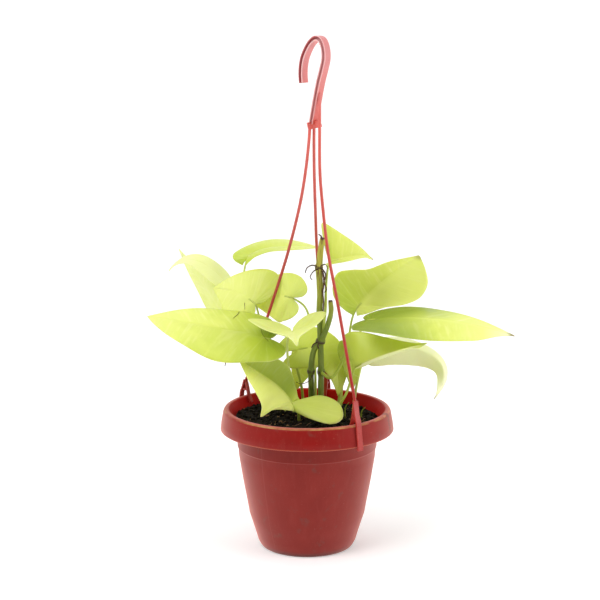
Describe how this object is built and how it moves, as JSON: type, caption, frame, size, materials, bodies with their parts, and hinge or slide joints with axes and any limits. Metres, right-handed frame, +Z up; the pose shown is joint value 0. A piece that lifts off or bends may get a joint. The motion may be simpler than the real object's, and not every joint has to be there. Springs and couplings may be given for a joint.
{
  "type": "potted plant",
  "caption": "Potted golden pothos with heart-shaped lime leaves on a short cut vine, in a flared plastic hanging pot with a hooked three-strand hanger.",
  "frame": {"origin": "centre of the underside of the pot's base, on the surface that the pot stands on", "axes": "+Z up along the pot's axis to the hook, -Y towards the front of the plant, +X to its right"},
  "size_m": [0.3514, 0.2131, 0.5036],
  "materials": {
    "pot": "satin, scuffed and dusty",
    "soil": "moist crumbly potting soil",
    "hanger": "semi-gloss moulded plastic",
    "vine": "smooth green stem with dry brown roots",
    "leaf_lime": "waxy leaf",
    "leaf_pale": "waxy leaf, paler",
    "leaf_shaded": "waxy leaf, deeper green"
  },
  "bodies": {
    "root": {"pot": "pot", "soil": "soil", "hanger": "hanger", "vine": "vine", "leaf_left_large": "leaf_lime", "leaf_front_wings": "leaf_pale", "leaf_front_low": "leaf_lime", "leaf_left_round": "leaf_lime", "leaf_left_arched": "leaf_pale", "leaf_far_left": "leaf_pale", "leaf_top_left": "leaf_pale", "leaf_back_round": "leaf_lime", "leaf_behind_stems": "leaf_shaded", "leaf_back_small": "leaf_lime", "leaf_top_right": "leaf_lime", "leaf_right_upper": "leaf_lime", "leaf_right_long": "leaf_lime", "leaf_right_folded": "leaf_shaded", "leaf_right_drooping": "leaf_pale", "leaf_right_low": "leaf_shaded"}
  },
  "joints": []
}
